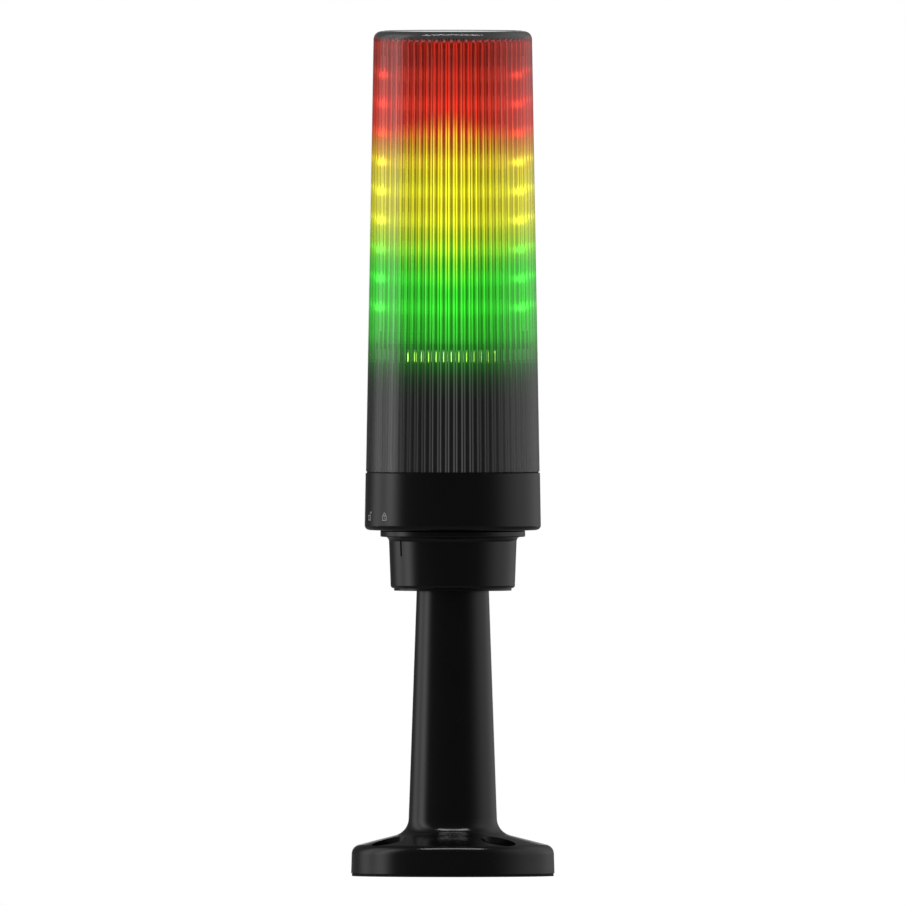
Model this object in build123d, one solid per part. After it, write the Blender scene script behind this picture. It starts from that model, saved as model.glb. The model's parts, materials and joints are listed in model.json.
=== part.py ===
from build123d import *
import os
from math import acos, atan2, cos, hypot, pi, radians, sin, sqrt, tan

# LED stack light on a tube pedestal. Millimetres, +Z up. The origin is the centre of the
# base's underside, and the four fixing holes lie on the diagonals of X and Y.
# Angles are degrees counter-clockwise from +X, seen from above.

os.makedirs("parts", exist_ok=True)

# Base gasket
gasket_t = 1.0
gasket_inset = 0.3

# Pedestal: foot and tube are one hollow moulding
foot_d = 70.0
foot_side_h = 9.2
foot_draft = 1.5
foot_edge_r = 3.3
cone_slope = 14.5
tube_cone_fillet_r = 6.0
tube_draft = 2.0
pedestal_h = 97.2
pedestal_wall = 2.5
shoulder_w = 1.96
foot_rib_t = 2.0
foot_rib_setback = 1.0

# Fixing holes of the foot
screw_count = 4
screw_hole_d = 5.5
counterbore_d = 12.0
counterbore_wall = 2.0
screw_seat_t = 5.0

# Threaded neck that carries the adapter cup, with its washer and nut
neck_d = 21.0
neck_wall = 3.0
neck_spare = 0.8
neck_clearance = 0.1
washer_t = 1.0
washer_rim_w = 3.6
nut_t = 5.0
nut_wall = 2.0
nut_side_gap = 0.4

# Adapter cup
cup_h = 20.7
cup_wall = 2.1
cup_floor_t = 3.0
cup_draft = 2.2
cup_lip_h = 0.8
cup_lip_inset = 1.1
cup_edge_r = 1.2
cup_inner_edge_r = 0.8
flange_t = 2.2
flange_reach = 1.5
flange_edge_r = 0.4
cup_flange_fillet_r = 1.6
tube_seal_t = 1.0
tube_seal_w = 1.6
index_w = 0.9
index_h = 5.5
index_depth = 0.45
index_drop = 1.1
index_angle = -135.0

# Spigot of the cup and its bayonet
spigot_step = 1.3
spigot_wall = 2.9
lug_count = 3
lug_arc = 18.0
lug_reach = 2.0
lug_h = 2.5
lug_angle = 90.0
bayonet_clearance = 0.3
tab_gap = 0.4
release_arc = 2.0
stop_gap_arc = 0.7
stop_arc = 2.3
stop_gap = 0.8

# Terminal carrier inside the cup
pillar_d = 4.8
pillar_embed = 0.4
pillar_count = 2
pillar_angle = 90.0
carrier_rise = 4.0
carrier_t = 2.0
carrier_gap = 0.3
cable_hole_d = 15.0
terminal_count = 5
terminal_pitch = 3.5
terminal_depth = 7.2
terminal_h = 8.5
terminal_offset = 8.8
terminal_entry = 2.4
terminal_entry_z = 1.4
terminal_entry_depth = 5.4
terminal_well_d = 2.7
terminal_screw_d = 2.4
terminal_screw_sink = 0.8
clamp_gap = 0.05
clamp_wall = 0.4
clamp_depth = 3.6

# Spring contacts and the tracks that they meet
contact_count = 5
contact_first_r = 9.2
contact_pitch = 1.8
contact_pin_d = 1.0
contact_pin_length = 12.0
contact_pin_reach = 4.3
contact_gap = 0.3
contact_fit = 0.05
tower_w = 4.0
tower_wall = 0.6
track_w = 1.1
track_t = 0.3

# Collar of the head
collar_gap = 0.1
collar_h = 19.7
collar_wall = 2.2
collar_draft = 1.0
collar_edge_r = 1.7
collar_floor_t = 2.4
deck_drop = 4.2
deck_t = 2.0
deck_fit = 0.15
deck_rib_count = 6
deck_rib_w = 1.8
deck_rib_depth = 1.6
lug_side_gap = 0.8
head_seal_t = 1.5
seal_inset = 0.1
seal_running_gap = 0.3

# Contact board under the deck
board_t = 1.6
contact_board_inset = 0.4
peg_d = 1.8
peg_head_d = 2.6
peg_head_h = 0.6
peg_count = 3
peg_angle = 60.0

# Lens
lens_seal_t = 0.5
lens_step = 0.1
lens_wall = 2.4
lens_draft = 1.0
lens_top_t = 2.5
lens_edge_r = 3.0
flute_count = 64
flute_depth = 1.2
flute_groove_r = 0.75
column_headroom = 2.2

# Driver housing with its board
housing_h = 42.3
housing_gap = 0.35
housing_wall = 2.0
housing_top_t = 2.0
housing_edge_r = 0.8
boss_d = 5.2
boss_embed = 0.4
boss_h = 10.0
boss_angle = 30.0
driver_board_rise = 11.5
driver_board_gap = 3.0
post_d = 5.0
post_circle_d = 34.0
post_angle = 90.0
header_w = 13.0
header_depth = 5.0
header_h = 2.5
header_pin_d = 0.64
header_pin_pitch = 2.54
header_pin_tail = 0.8
capacitor_d = 10.0
capacitor_h = 14.0
capacitor_edge_r = 0.6
capacitor_circle_d = 24.0

# Column of three LED boards
column_angle = -144.5
led_board_w = 20.0
led_board_apothem = 6.0
row_first_rise = 18.8
row_pitch = 10.0
rows_per_colour = 3
board_top_margin = 9.0
led_side = 5.0
led_h = 1.5
led_window_d = 3.8
led_window_depth = 0.4
column_leg_h = 4.3
column_leg_d = 5.0
column_plate_t = 2.0
column_plate_d = 32.0
column_cap_t = 1.5
column_cap_d = 29.0
slot_wall = 1.5
slot_fit = 0.1
foot_slot_h = 4.0
cap_slot_h = 3.0
wire_hole_d = 5.0
column_screw_circle_d = 26.0

# Power lamp in the middle of the housing's top, seen between the column's legs
power_led_d = 3.0
power_led_rim_d = 3.8
power_led_rim_h = 1.0
power_led_rise = 3.5
power_led_fit = 0.1
wire_hole_gap = 1.0

# Small screws
thread_fit = 0.05
small_screw_d = 2.1
small_screw_head_d = 3.8
small_screw_head_h = 1.5
small_screw_length = 6.0
screw_slot_w = 0.5
screw_slot_depth = 0.6

colours = ["green", "yellow", "red"]
side_count = 3
# How far a cutting tool runs past the face that it opens
overshoot = 1.0


def turned(points, corners=None):
    """Solid turned about Z from (radius, height) points, with a radius for each corner."""
    if corners is None:
        outline = Polyline(*points, close=True)
    else:
        outline = FilletPolyline(*points, radius=corners, close=True)
    return revolve(make_face(Plane.XZ * outline), Axis.Z)


def rod(diameter, low, high, x=0.0, y=0.0):
    """Upright cylinder between two heights."""
    return Pos(x, y, (low + high) / 2) * Cylinder(diameter / 2, high - low)


def ring(outer_d, inner_d, low, high):
    """Flat upright ring between two heights."""
    return rod(outer_d, low, high) - rod(inner_d, low, high)


def sector(inner_r, outer_r, low, high, start, arc):
    """Piece of a ring that begins at one angle and runs counter-clockwise."""
    section = Pos((inner_r + outer_r) / 2, (low + high) / 2) * Rectangle(outer_r - inner_r, high - low)
    return Rot(0, 0, start) * revolve(Plane.XZ * section, Axis.Z, arc)


def around(count, first_angle, radius):
    """Places evenly spaced on a circle, each with its X axis pointing outwards."""
    return [Rot(0, 0, first_angle + 360 * i / count) * Pos(radius, 0, 0) for i in range(count)]


def pan_screw(length):
    """Slotted screw with its head on the plane z = 0 and its shank below."""
    head = rod(small_screw_head_d, 0, small_screw_head_h)
    shank = rod(small_screw_d, -length, 0)
    slot = Pos(0, 0, small_screw_head_h) * Box(small_screw_head_d, screw_slot_w, 2 * screw_slot_depth)
    return head + shank - slot


def screw_hole(low, high):
    """Hole that a small screw's shank goes into."""
    return rod(small_screw_d + 2 * thread_fit, low, high)


def save(name, shape):
    export_step(shape, f"parts/{name}.step")


# Heights, from the ground up
foot_z = gasket_t
shoulder_z = foot_z + pedestal_h
cup_floor_z = shoulder_z + cup_floor_t
washer_top_z = cup_floor_z + washer_t
nut_top_z = washer_top_z + nut_t
neck_top_z = nut_top_z + neck_spare
carrier_z = neck_top_z + carrier_rise
carrier_top_z = carrier_z + carrier_t
flange_top_z = shoulder_z + cup_h
flange_z = flange_top_z - flange_t
collar_z = flange_top_z + collar_gap
collar_floor_top_z = collar_z + collar_floor_t
collar_top_z = collar_z + collar_h
deck_top_z = collar_top_z - deck_drop
deck_z = deck_top_z - deck_t
spigot_top_z = deck_z - head_seal_t - seal_running_gap
contact_board_z = deck_z - board_t
track_z = contact_board_z - track_t
pin_top_z = track_z - contact_gap
lens_z = collar_top_z + lens_seal_t
housing_top_z = deck_top_z + housing_h
column_leg_top_z = housing_top_z + column_leg_h
column_plate_z = column_leg_top_z + column_plate_t
row_first_z = housing_top_z + row_first_rise
row_count = rows_per_colour * len(colours)
led_board_top_z = row_first_z + row_pitch * (row_count - 1) + board_top_margin
cap_top_z = led_board_top_z + column_cap_t
lens_ceiling_z = cap_top_z + column_headroom
lens_top_z = lens_ceiling_z + lens_top_t

# Radii, from the neck outwards
neck_r = neck_d / 2
neck_hole_r = neck_r + neck_clearance
tube_top_r = neck_r + shoulder_w
nut_flats = neck_d + 2 * nut_wall
nut_corner_r = nut_flats / sqrt(3)
pillar_circle_r = nut_corner_r + nut_side_gap + pillar_d / 2
cup_bore_r = pillar_circle_r + pillar_d / 2 - pillar_embed
cup_base_r = cup_bore_r + cup_wall
spigot_bore_r = cup_bore_r + spigot_step
spigot_r = spigot_bore_r + spigot_wall
flange_r = spigot_r + flange_reach
lug_r = spigot_r + lug_reach
collar_opening_r = lug_r + bayonet_clearance
collar_bore_r = lug_r + lug_side_gap + deck_rib_depth
collar_top_r = collar_bore_r + collar_wall
collar_base_r = collar_top_r + collar_h * tan(radians(collar_draft))
lens_base_r = collar_top_r - lens_step


def tube_r(z):
    """Outer radius of the tube, which narrows upwards."""
    return tube_top_r + (shoulder_z - z) * tan(radians(tube_draft))


def cup_r(z):
    """Outer radius of the adapter cup, which widens upwards."""
    return cup_base_r + (z - shoulder_z) * tan(radians(cup_draft))


def lens_r(z):
    """Outer radius of the lens, which narrows upwards."""
    return lens_base_r - (z - lens_z) * tan(radians(lens_draft))


def housing_r(z):
    """Outer radius of the driver housing, just inside the crests of the flutes."""
    return lens_r(z) - lens_wall - housing_gap


# Pedestal: the outside is a foot with a sloping top, run into the tube by a fillet
foot_r = foot_d / 2
foot_corner_r = foot_r - foot_side_h * tan(radians(foot_draft))
foot_corner_z = foot_z + foot_side_h
slope = tan(radians(cone_slope))
taper = tan(radians(tube_draft))
tube_foot_r = tube_top_r + (shoulder_z - foot_corner_z - foot_corner_r * slope) * taper
tube_foot_r = tube_foot_r / (1 - slope * taper)
tube_foot_z = foot_corner_z + (foot_corner_r - tube_foot_r) * slope
pedestal = turned(
    [
        (0, foot_z),
        (foot_r, foot_z),
        (foot_corner_r, foot_corner_z),
        (tube_foot_r, tube_foot_z),
        (tube_top_r, shoulder_z),
        (neck_r, shoulder_z),
        (neck_r, neck_top_z),
        (0, neck_top_z),
    ],
    [0, 0, foot_edge_r, tube_cone_fillet_r, 0, 0, 0, 0],
)

# The bore follows the tube and narrows to the neck
bore_top_z = shoulder_z - pedestal_wall
neck_bore_r = neck_r - neck_wall
pedestal -= turned(
    [
        (0, foot_z),
        (tube_r(foot_z) - pedestal_wall, foot_z),
        (tube_r(bore_top_z) - pedestal_wall, bore_top_z),
        (neck_bore_r, bore_top_z),
        (neck_bore_r, neck_top_z),
        (0, neck_top_z),
    ]
)

# The foot is cored from below, up to an even wall under its sloping top
rim_r = foot_r - pedestal_wall
sleeve_r = tube_r(foot_z)
core_drop = pedestal_wall / cos(radians(cone_slope))


def core_top_z(r):
    return foot_corner_z + (foot_corner_r - r) * slope - core_drop


core = turned([(sleeve_r, foot_z), (rim_r, foot_z), (rim_r, core_top_z(rim_r)), (sleeve_r, core_top_z(sleeve_r))])
screw_circle_r = foot_r - counterbore_d / 2 - counterbore_wall
screw_places = around(screw_count, 180 / screw_count, screw_circle_r)
screw_boss_d = counterbore_d + 2 * counterbore_wall
foot_rib_z = foot_z + foot_rib_setback
foot_rib_length = rim_r - sleeve_r + 2 * overshoot
for place in screw_places:
    core -= place * rod(screw_boss_d, foot_z, tube_foot_z)
for place in around(2 * screw_count, 0, (rim_r + sleeve_r) / 2):
    core -= place * Pos(0, 0, (foot_rib_z + tube_foot_z) / 2) * Box(foot_rib_length, foot_rib_t, tube_foot_z - foot_rib_z)
pedestal -= core

# Each fixing screw has a flat seat in a round recess
screw_seat_z = foot_z + screw_seat_t
for place in screw_places:
    pedestal -= place * rod(counterbore_d, screw_seat_z, tube_foot_z + overshoot)
    pedestal -= place * rod(screw_hole_d, foot_z, screw_seat_z)
save("pedestal", pedestal)

# Base gasket, with the same holes
base_gasket = ring(foot_d - 2 * gasket_inset, 2 * (sleeve_r - pedestal_wall), 0, gasket_t)
for place in screw_places:
    base_gasket -= place * rod(screw_hole_d, 0, gasket_t)
save("base_gasket", base_gasket)

# Adapter cup with its flange and spigot
cup_lip_r = cup_base_r - cup_lip_inset
adapter_cup = turned(
    [
        (neck_hole_r, shoulder_z),
        (cup_lip_r, shoulder_z),
        (cup_lip_r, shoulder_z + cup_lip_h),
        (cup_r(shoulder_z + cup_lip_h), shoulder_z + cup_lip_h),
        (cup_r(flange_z), flange_z),
        (flange_r, flange_z),
        (flange_r, flange_top_z),
        (spigot_r, flange_top_z),
        (spigot_r, spigot_top_z),
        (spigot_bore_r, spigot_top_z),
        (spigot_bore_r, flange_z),
        (cup_bore_r, flange_z),
        (cup_bore_r, cup_floor_z),
        (neck_hole_r, cup_floor_z),
    ],
    [
        0,
        0,
        0,
        min(cup_edge_r, 0.9 * (cup_r(shoulder_z + cup_lip_h) - cup_lip_r)),
        cup_flange_fillet_r,
        flange_edge_r,
        flange_edge_r,
        0,
        flange_edge_r,
        0,
        0,
        0,
        cup_inner_edge_r,
        0,
    ],
)

# Pillars for the terminal carrier, run into the cup's wall
pillar_places = around(pillar_count, pillar_angle, pillar_circle_r)
pillar_hole_z = carrier_z - small_screw_length - overshoot
for place in pillar_places:
    adapter_cup += place * rod(pillar_d, cup_floor_z, carrier_z)
for place in pillar_places:
    adapter_cup -= place * screw_hole(pillar_hole_z, carrier_z)

# Seat of the tube seal, and the index mark that the head's lock symbols point to
tube_seal_r = neck_hole_r + tube_seal_w
adapter_cup -= rod(2 * tube_seal_r, shoulder_z, shoulder_z + tube_seal_t)
index_top_z = flange_z - index_drop
index_mid_z = index_top_z - index_h / 2
index_place = Rot(0, 0, index_angle) * Pos(cup_r(index_mid_z), 0, index_mid_z)
adapter_cup -= index_place * Box(2 * index_depth, index_w, index_h)

# Bayonet lugs on the spigot
lug_z = collar_floor_top_z + bayonet_clearance
lug_places = [lug_angle + 360 * i / lug_count for i in range(lug_count)]
for angle in lug_places:
    adapter_cup += sector(spigot_r - overshoot, lug_r, lug_z, lug_z + lug_h, angle - lug_arc / 2, lug_arc)
save("adapter_cup", adapter_cup)

save("tube_seal", ring(2 * tube_seal_r, 2 * neck_hole_r, shoulder_z, shoulder_z + tube_seal_t))
save("lock_washer", ring(2 * neck_hole_r + 2 * washer_rim_w, 2 * neck_hole_r, cup_floor_z, washer_top_z))

# Hexagonal nut with both ends turned down at the corners
nut_chamfer = (nut_corner_r - nut_flats / 2) / 2
lock_nut = Pos(0, 0, washer_top_z) * extrude(RegularPolygon(nut_corner_r, 6), nut_t)
lock_nut &= turned(
    [
        (0, washer_top_z),
        (nut_corner_r - nut_chamfer, washer_top_z),
        (nut_corner_r, washer_top_z + nut_chamfer),
        (nut_corner_r, nut_top_z - nut_chamfer),
        (nut_corner_r - nut_chamfer, nut_top_z),
        (0, nut_top_z),
    ]
)
lock_nut -= rod(neck_d + 2 * thread_fit, washer_top_z, nut_top_z)
save("lock_nut", lock_nut)

# Terminal carrier: a plate with the cable hole and a tower that guides the spring contacts
contact_radii = [contact_first_r + contact_pitch * i for i in range(contact_count)]
tower_side = contact_pin_d / 2 + tower_wall
tower_low_x = contact_radii[0] - tower_side
tower_high_x = contact_radii[-1] + tower_side
tower_top_z = pin_top_z - contact_pin_reach
pin_z = pin_top_z - contact_pin_length
carrier = rod(2 * (cup_bore_r - carrier_gap), carrier_z, carrier_top_z)
carrier += Pos((tower_low_x + tower_high_x) / 2, 0, (carrier_top_z + tower_top_z) / 2) * Box(
    tower_high_x - tower_low_x, tower_w, tower_top_z - carrier_top_z
)
carrier -= rod(cable_hole_d, carrier_z, carrier_top_z)
for radius in contact_radii:
    carrier -= rod(contact_pin_d + 2 * contact_fit, pin_z, tower_top_z, x=radius)
for place in pillar_places:
    carrier -= place * screw_hole(carrier_z, carrier_top_z)
save("terminal_carrier", carrier)

carrier_screws = [
    place * Pos(0, 0, carrier_top_z) * pan_screw(small_screw_length) for place in pillar_places
]
save("carrier_screws", Compound(carrier_screws))

# Spring contacts with domed tips
pin_r = contact_pin_d / 2
contact_pins = []
for radius in contact_radii:
    shank = rod(contact_pin_d, pin_z, pin_top_z - pin_r)
    tip = Pos(0, 0, pin_top_z - pin_r) * Sphere(pin_r)
    contact_pins.append(Pos(radius, 0, 0) * (shank + tip))
save("contact_pins", Compound(contact_pins))

# Terminal block beside the cable hole, with an entry, a clamp and a screw for each conductor
block_x = -terminal_offset - terminal_depth / 2
block_top_z = carrier_top_z + terminal_h
entry_low_z = carrier_top_z + terminal_entry_z
entry_high_z = entry_low_z + terminal_entry
entry_x = -terminal_offset - terminal_entry_depth / 2
clamp_side = terminal_entry - 2 * clamp_gap
clamp_x = -terminal_offset - terminal_entry_depth + clamp_depth / 2
clamp_top_z = entry_low_z + clamp_side
terminal_y = [terminal_pitch * (i - (terminal_count - 1) / 2) for i in range(terminal_count)]
block = Pos(block_x, 0, (carrier_top_z + block_top_z) / 2) * Box(
    terminal_depth, terminal_pitch * terminal_count, terminal_h
)
terminal_screws = []
terminal_clamps = []
for y in terminal_y:
    entry_place = Pos(entry_x, y, (entry_low_z + entry_high_z) / 2)
    block -= entry_place * Box(terminal_entry_depth, terminal_entry, terminal_entry)
    block -= rod(terminal_well_d, entry_high_z, block_top_z, x=clamp_x, y=y)
    screw_top_z = block_top_z - terminal_screw_sink
    screw = rod(terminal_screw_d, clamp_top_z, screw_top_z)
    screw -= Pos(0, 0, screw_top_z) * Box(terminal_screw_d, screw_slot_w, 2 * screw_slot_depth)
    terminal_screws.append(Pos(clamp_x, y, 0) * screw)
    clamp = Box(clamp_depth, clamp_side, clamp_side)
    clamp -= Box(clamp_depth, clamp_side - 2 * clamp_wall, clamp_side - 2 * clamp_wall)
    terminal_clamps.append(Pos(clamp_x, y, entry_low_z + clamp_side / 2) * clamp)
save("terminal_block", block)
save("terminal_screws", Compound(terminal_screws))
save("terminal_clamps", Compound(terminal_clamps))

# Collar of the head: a cup whose floor is the bayonet's entry
collar = turned(
    [
        (collar_opening_r, collar_z),
        (collar_base_r, collar_z),
        (collar_top_r, collar_top_z),
        (collar_bore_r, collar_top_z),
        (collar_bore_r, collar_floor_top_z),
        (collar_opening_r, collar_floor_top_z),
    ],
    [0, collar_edge_r, 0, 0, 0, 0],
)

# Tabs under the lugs, and the two stops that end the twist
twist = lug_arc + release_arc
tab_r = spigot_r + tab_gap
stop_r = spigot_r + stop_gap
stop_top_z = lug_z + lug_h
for angle in lug_places:
    locked_stop = angle + lug_arc / 2 + stop_gap_arc
    open_stop = angle - lug_arc / 2 - twist - stop_gap_arc - stop_arc
    tab_arc = lug_arc + stop_gap_arc + stop_arc
    tab_start = angle - lug_arc / 2
    collar += sector(tab_r, collar_opening_r + overshoot, collar_z, collar_floor_top_z, tab_start, tab_arc)
    collar += sector(stop_r, collar_bore_r + overshoot, collar_z, stop_top_z, locked_stop, stop_arc)
    collar += sector(stop_r, collar_bore_r + overshoot, collar_z, stop_top_z, open_stop, stop_arc)

# Ribs that carry the deck
rib_mid_r = collar_bore_r - deck_rib_depth / 2
for place in around(deck_rib_count, 0, rib_mid_r + overshoot / 2):
    rib = Box(deck_rib_depth + overshoot, deck_rib_w, deck_z - collar_floor_top_z)
    collar += place * Pos(0, 0, (collar_floor_top_z + deck_z) / 2) * rib
save("collar", collar)

# Deck across the collar, with posts above for the driver board and pegs below
deck_r = collar_bore_r - deck_fit
boss_circle_r = housing_r(deck_top_z) - housing_wall + boss_embed - boss_d / 2
boss_places = around(side_count, boss_angle, boss_circle_r)
post_places = around(side_count, post_angle, post_circle_d / 2)
contact_board_r = spigot_bore_r - contact_board_inset
peg_circle_r = contact_board_r - peg_head_d / 2 - seal_inset
peg_places = around(peg_count, peg_angle, peg_circle_r)
driver_board_z = deck_top_z + driver_board_rise
driver_board_top_z = driver_board_z + board_t
head_sink_h = (small_screw_head_d - small_screw_d) / 2
head_deck = rod(2 * deck_r, deck_z, deck_top_z)
for place in post_places:
    head_deck += place * rod(post_d, deck_top_z, driver_board_z)
for place in peg_places:
    head_deck += place * rod(peg_d, contact_board_z, deck_z)
    head_deck += place * rod(peg_head_d, contact_board_z - peg_head_h, contact_board_z)
for place in post_places:
    head_deck -= place * screw_hole(driver_board_z - small_screw_length, driver_board_z)
sunk_hole = turned(
    [
        (0, deck_z),
        (small_screw_head_d / 2 + thread_fit, deck_z),
        (small_screw_d / 2 + thread_fit, deck_z + head_sink_h),
        (small_screw_d / 2 + thread_fit, deck_top_z),
        (0, deck_top_z),
    ]
)
for place in boss_places:
    head_deck -= place * sunk_hole
head_deck -= Pos(0, 0, (deck_z + deck_top_z) / 2) * Box(header_depth + 2 * slot_fit, header_w + 2 * slot_fit, deck_t)
save("head_deck", head_deck)

head_seal = ring(2 * (spigot_r - seal_inset), 2 * (spigot_bore_r + seal_inset), deck_z - head_seal_t, deck_z)
save("head_seal", head_seal)

# Contact board, staked to the deck, with one ring track for each spring contact
contact_board = rod(2 * contact_board_r, contact_board_z, deck_z)
for place in peg_places:
    contact_board -= place * rod(peg_d + 2 * thread_fit, contact_board_z, deck_z)
save("contact_board", contact_board)
tracks = [ring(2 * radius + track_w, 2 * radius - track_w, track_z, contact_board_z) for radius in contact_radii]
save("contact_tracks", Compound(tracks))

# Seal between the collar's rim and the lens
lens_seal_outer_r = lens_base_r - 4 * seal_inset
lens_seal_inner_r = collar_bore_r + 2 * seal_inset
save("lens_seal", ring(2 * lens_seal_outer_r, 2 * lens_seal_inner_r, collar_top_z, lens_z))

# Lens: a tapered cap, smooth outside and fluted inside
lens = turned(
    [
        (0, lens_z),
        (lens_base_r, lens_z),
        (lens_r(lens_top_z), lens_top_z),
        (0, lens_top_z),
    ],
    [0, 0, lens_edge_r, 0],
)


def flute_outline(z):
    """Inside of the lens at one height: sharp crests with straight flanks down to round grooves."""
    crest_r = lens_r(z) - lens_wall
    half_pitch = pi / flute_count
    crest_x = crest_r * cos(half_pitch)
    crest_y = crest_r * sin(half_pitch)
    # The groove on the X axis, and the point where the flank from the crest touches its rounding
    centre_x = crest_r + flute_depth - flute_groove_r
    reach = hypot(centre_x - crest_x, crest_y)
    slope = atan2(crest_y, crest_x - centre_x) - acos(flute_groove_r / reach)
    touch_x = centre_x + flute_groove_r * cos(slope)
    touch_y = flute_groove_r * sin(slope)
    flute = [
        Line((crest_x, -crest_y), (touch_x, -touch_y)),
        ThreePointArc((touch_x, -touch_y), (crest_r + flute_depth, 0), (touch_x, touch_y)),
        Line((touch_x, touch_y), (crest_x, crest_y)),
    ]
    edges = [Rot(0, 0, 360 / flute_count * (i + 0.5)) * edge for i in range(flute_count) for edge in flute]
    return Pos(0, 0, z) * make_face(Curve() + edges)


lens -= loft([flute_outline(lens_z), flute_outline(lens_ceiling_z)], ruled=True)
save("lens", lens)

# Driver housing: a closed cap inside the lens, with bosses that its screws go into
housing = turned(
    [
        (0, housing_top_z),
        (0, housing_top_z - housing_top_t),
        (housing_r(housing_top_z) - housing_wall, housing_top_z - housing_top_t),
        (housing_r(deck_top_z) - housing_wall, deck_top_z),
        (housing_r(deck_top_z), deck_top_z),
        (housing_r(housing_top_z), housing_top_z),
    ],
    [0, 0, housing_edge_r, 0, 0, housing_edge_r],
)
for place in boss_places:
    housing += place * rod(boss_d, deck_top_z, deck_top_z + boss_h)
for place in boss_places:
    housing -= place * screw_hole(deck_top_z, deck_top_z + small_screw_length)
housing_ceiling_z = housing_top_z - housing_top_t
column_screw_places = around(side_count, column_angle, column_screw_circle_d / 2)
for place in column_screw_places:
    housing -= place * screw_hole(housing_ceiling_z, housing_top_z)
wire_hole_r = power_led_rim_d / 2 + wire_hole_gap + wire_hole_d / 2
wire_hole_place = Rot(0, 0, column_angle + 180) * Pos(wire_hole_r, 0, 0)
housing -= wire_hole_place * rod(wire_hole_d, housing_ceiling_z, housing_top_z)
housing -= rod(power_led_d + 2 * power_led_fit, housing_ceiling_z, housing_top_z)
save("driver_housing", housing)

# Power lamp, pushed up through the housing's top as far as its rim
power_led_top_z = housing_top_z + power_led_rise
power_led = rod(power_led_rim_d, housing_ceiling_z - power_led_rim_h, housing_ceiling_z)
power_led += rod(power_led_d, housing_ceiling_z, power_led_top_z - power_led_d / 2)
power_led += Pos(0, 0, power_led_top_z - power_led_d / 2) * Sphere(power_led_d / 2)
save("power_led", power_led)

# Screws from below, with sunk heads flush with the deck
sunk_screw = turned(
    [
        (0, deck_z),
        (small_screw_head_d / 2, deck_z),
        (small_screw_d / 2, deck_z + head_sink_h),
        (small_screw_d / 2, deck_top_z + small_screw_length - overshoot),
        (0, deck_top_z + small_screw_length - overshoot),
    ]
)
sunk_screw -= Pos(0, 0, deck_z) * Box(small_screw_head_d, screw_slot_w, 2 * screw_slot_depth)
save("housing_screws", Compound([place * sunk_screw for place in boss_places]))

# Driver board on the deck's posts, with its header and two capacitors
driver_board = rod(2 * (housing_r(deck_top_z) - housing_wall - driver_board_gap), driver_board_z, driver_board_top_z)
header_pins_y = [header_pin_pitch * (i - (contact_count - 1) / 2) for i in range(contact_count)]
header = Pos(0, 0, deck_z + (deck_t + header_h) / 2) * Box(header_depth, header_w, deck_t + header_h)
for y in header_pins_y:
    header += rod(header_pin_d, deck_z + deck_t, driver_board_top_z + header_pin_tail, y=y)
    driver_board -= rod(header_pin_d + 2 * thread_fit, driver_board_z, driver_board_top_z, y=y)
for place in post_places:
    driver_board -= place * screw_hole(driver_board_z, driver_board_top_z)
save("driver_board", driver_board)
save("driver_connector", header)
board_screws = [
    place * Pos(0, 0, driver_board_top_z) * pan_screw(small_screw_length - board_t - overshoot)
    for place in post_places
]
save("board_screws", Compound(board_screws))
capacitor_r = capacitor_d / 2
capacitor_top_z = driver_board_top_z + capacitor_h
capacitor = turned(
    [
        (0, driver_board_top_z),
        (capacitor_r, driver_board_top_z),
        (capacitor_r, capacitor_top_z),
        (0, capacitor_top_z),
    ],
    [0, 0, capacitor_edge_r, 0],
)
# The capacitors stand midway between the posts, clear of their screws
capacitor_angles = [post_angle - 180 / side_count, post_angle + 180 / side_count]
capacitors = [Rot(0, 0, angle) * Pos(capacitor_circle_d / 2, 0, 0) * capacitor for angle in capacitor_angles]
save("driver_capacitors", Compound(capacitors))

# Column: three LED boards set as a triangular prism between a slotted foot on legs and a cap
board_mid_r = led_board_apothem + board_t / 2
side_places = around(side_count, column_angle, 0)
slot_apothem = led_board_apothem + board_t + slot_fit + slot_wall


def slotted_prism(low, high):
    """Triangular block with rounded corners and a slot along each side for a board."""
    triangle = RegularPolygon(slot_apothem, side_count, major_radius=False, rotation=column_angle + 180)
    corner = sqrt((led_board_w / 2 + slot_fit + slot_wall) ** 2 + slot_apothem**2)
    prism = Pos(0, 0, low) * extrude(triangle & Circle(corner), high - low)
    for place in side_places:
        slot = Box(board_t + 2 * slot_fit, led_board_w + 2 * slot_fit, high - low)
        prism -= place * Pos(board_mid_r, 0, (low + high) / 2) * slot
    return prism


column_foot = rod(column_plate_d, column_leg_top_z, column_plate_z)
column_foot += slotted_prism(column_plate_z, column_plate_z + foot_slot_h)
column_foot -= wire_hole_place * rod(wire_hole_d, column_leg_top_z, column_plate_z + foot_slot_h)
for place in column_screw_places:
    column_foot += place * rod(column_leg_d, housing_top_z, column_leg_top_z)
for place in column_screw_places:
    column_foot -= place * screw_hole(housing_top_z, column_leg_top_z + column_plate_t / 2)
save("column_foot", column_foot)
column_screws = [
    place * Pos(0, 0, housing_ceiling_z) * Rot(180, 0, 0) * pan_screw(housing_top_t + column_leg_h)
    for place in column_screw_places
]
save("column_screws", Compound(column_screws))

column_cap = rod(column_cap_d, led_board_top_z, cap_top_z)
column_cap += slotted_prism(led_board_top_z - cap_slot_h, led_board_top_z)
save("column_cap", column_cap)

led_board = Pos(board_mid_r, 0, (column_plate_z + led_board_top_z) / 2) * Box(
    board_t, led_board_w, led_board_top_z - column_plate_z
)
for i, place in enumerate(side_places):
    save(f"led_board_{i + 1}", place * led_board)

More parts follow.
